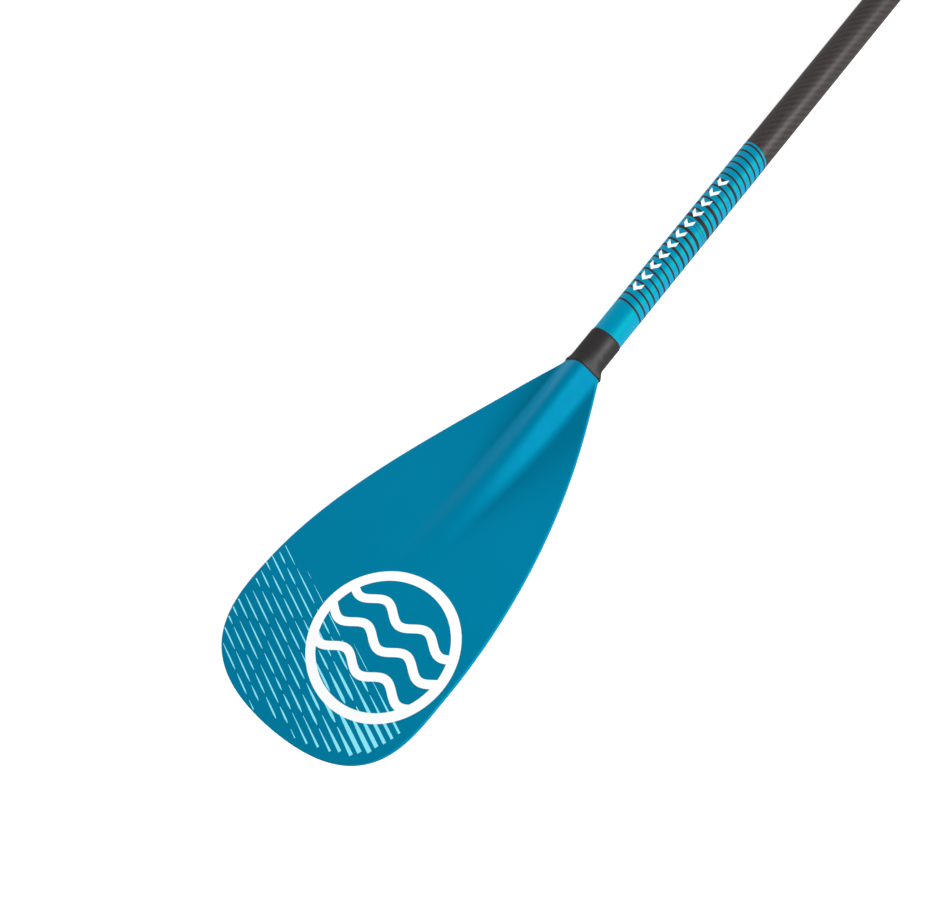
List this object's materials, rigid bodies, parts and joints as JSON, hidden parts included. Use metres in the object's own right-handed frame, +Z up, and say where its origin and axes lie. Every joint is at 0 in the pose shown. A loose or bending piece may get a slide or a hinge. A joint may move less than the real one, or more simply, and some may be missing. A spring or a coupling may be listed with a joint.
{
  "type": "stand-up paddle",
  "caption": "Single blade stand-up paddle: raked plastic blade, sleeved neck, woven tube shafts with a snap-button joint, cam-lever length clamp and T grip.",
  "frame": {"origin": "Middle of the paddle's length and width, on the surface it lies on with the printed face of the blade upwards", "axes": "+X along the shaft towards the grip, +Y across the blade, +Z up, out of the blade's printed face"},
  "size_m": [1.9998, 0.202, 0.0514],
  "materials": {
    "blade_teal": "satin moulded plastic, fibre filled",
    "black_sleeve": "satin shrink sleeve",
    "woven_tube": "woven fibre under semi-gloss resin",
    "blue_film": "printed glossy film",
    "foam": "closed-cell foam",
    "black_plastic": "moulded, fine texture",
    "lever_plastic": "moulded, fine texture",
    "grey_nylon": "moulded nylon",
    "white_nylon": "moulded nylon",
    "alloy": "drawn and anodised tube",
    "stainless": "turned stainless steel",
    "spring_steel": "rolled spring steel",
    "black_rubber": "rubber",
    "soft_pad": "soft moulded rubber"
  },
  "bodies": {
    "root": {"blade": "blade_teal", "neck_sleeve": "black_sleeve", "lower_shaft": "woven_tube", "shaft_film": "blue_film", "lower_foam_plug": "foam", "joint_collar": "black_plastic", "joint_ferrule": "alloy", "ferrule_seal": "black_rubber", "button_spring": "spring_steel", "middle_shaft": "woven_tube", "clamp_collar": "black_plastic", "collar_rivet": "stainless", "wiper_ring": "grey_nylon", "clamp_bolt": "stainless", "clamp_nut": "stainless", "cam_washer": "stainless", "lever_pin": "stainless"},
    "upper_section": {"upper_shaft": "woven_tube", "guide_bush": "white_nylon", "upper_foam_plug": "foam", "grip_body": "black_plastic", "grip_pad": "soft_pad", "grip_screw": "stainless"},
    "clamp_lever": {"clamp_lever": "lever_plastic"},
    "snap_button": {"snap_button": "stainless"}
  },
  "joints": [
    {"name": "length_slide", "type": "slide", "parent": "root", "child": "upper_section", "axis": [1, 0, 0], "range_m": [-0.2, 0.2]},
    {"name": "lever_hinge", "type": "hinge", "parent": "root", "child": "clamp_lever", "pos_m": [0.543, 0.0178, 0.04], "axis": [1, 0, 0], "range_deg": [0, 150]},
    {"name": "button_press", "type": "slide", "parent": "root", "child": "snap_button", "axis": [0, 0, -1], "range_m": [0, 0.0042], "stiffness_N_per_m": 2500, "springref_m": -0.002}
  ]
}
